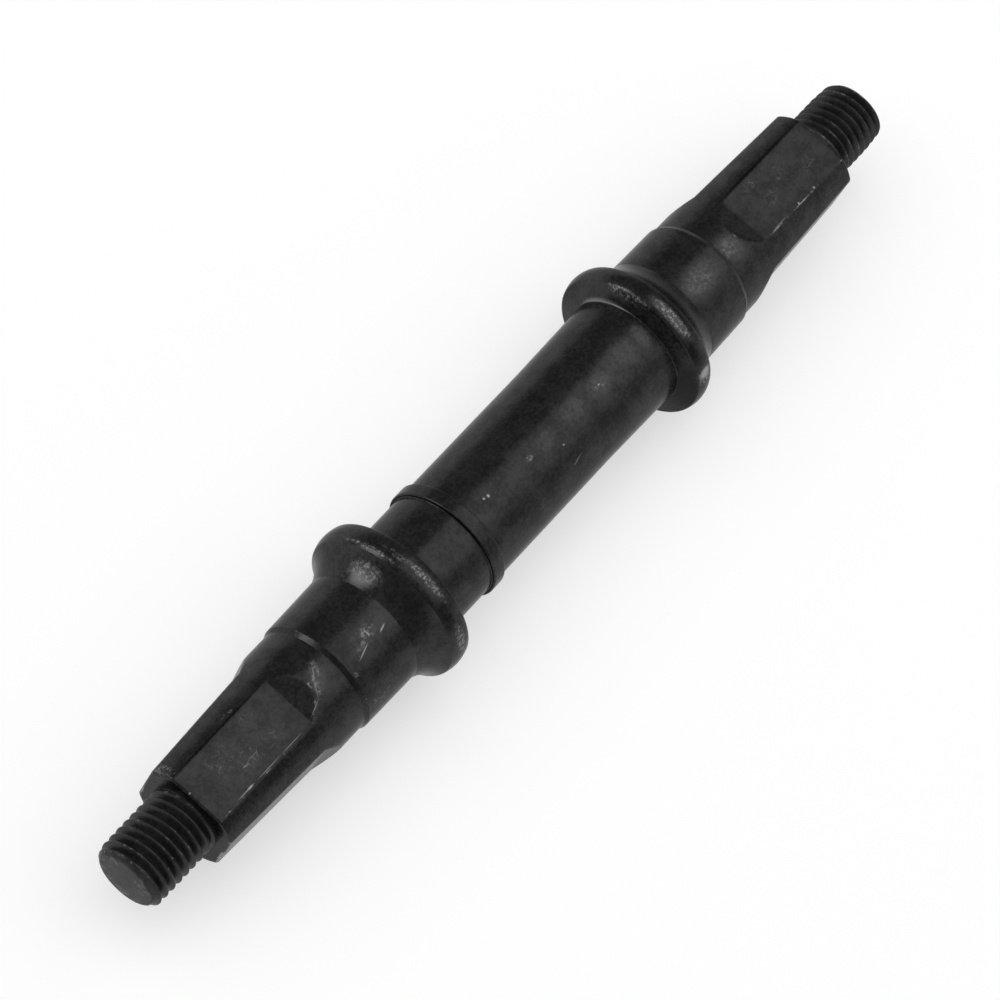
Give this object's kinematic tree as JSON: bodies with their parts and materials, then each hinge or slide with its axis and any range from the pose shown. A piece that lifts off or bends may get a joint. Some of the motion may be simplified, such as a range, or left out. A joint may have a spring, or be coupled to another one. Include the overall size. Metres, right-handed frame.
{
  "type": "bicycle bottom bracket axle",
  "caption": "Turned steel axle with a flanged ball race near each end, square tapers for the crank arms and threaded tips.",
  "frame": {"origin": "on the axle's centre line, half-way between its two end faces", "axes": "+X along the centre line towards the end with the longer square; +Z square to one pair of flats, so the axle lies on its two flanges with that pair level"},
  "size_m": [0.1484, 0.0224, 0.0224],
  "materials": {
    "black_steel": "black oxide over turned and forged steel, satin, worn bright on edges and thread crests"
  },
  "bodies": {
    "root": {"axle": "black_steel"}
  },
  "joints": []
}
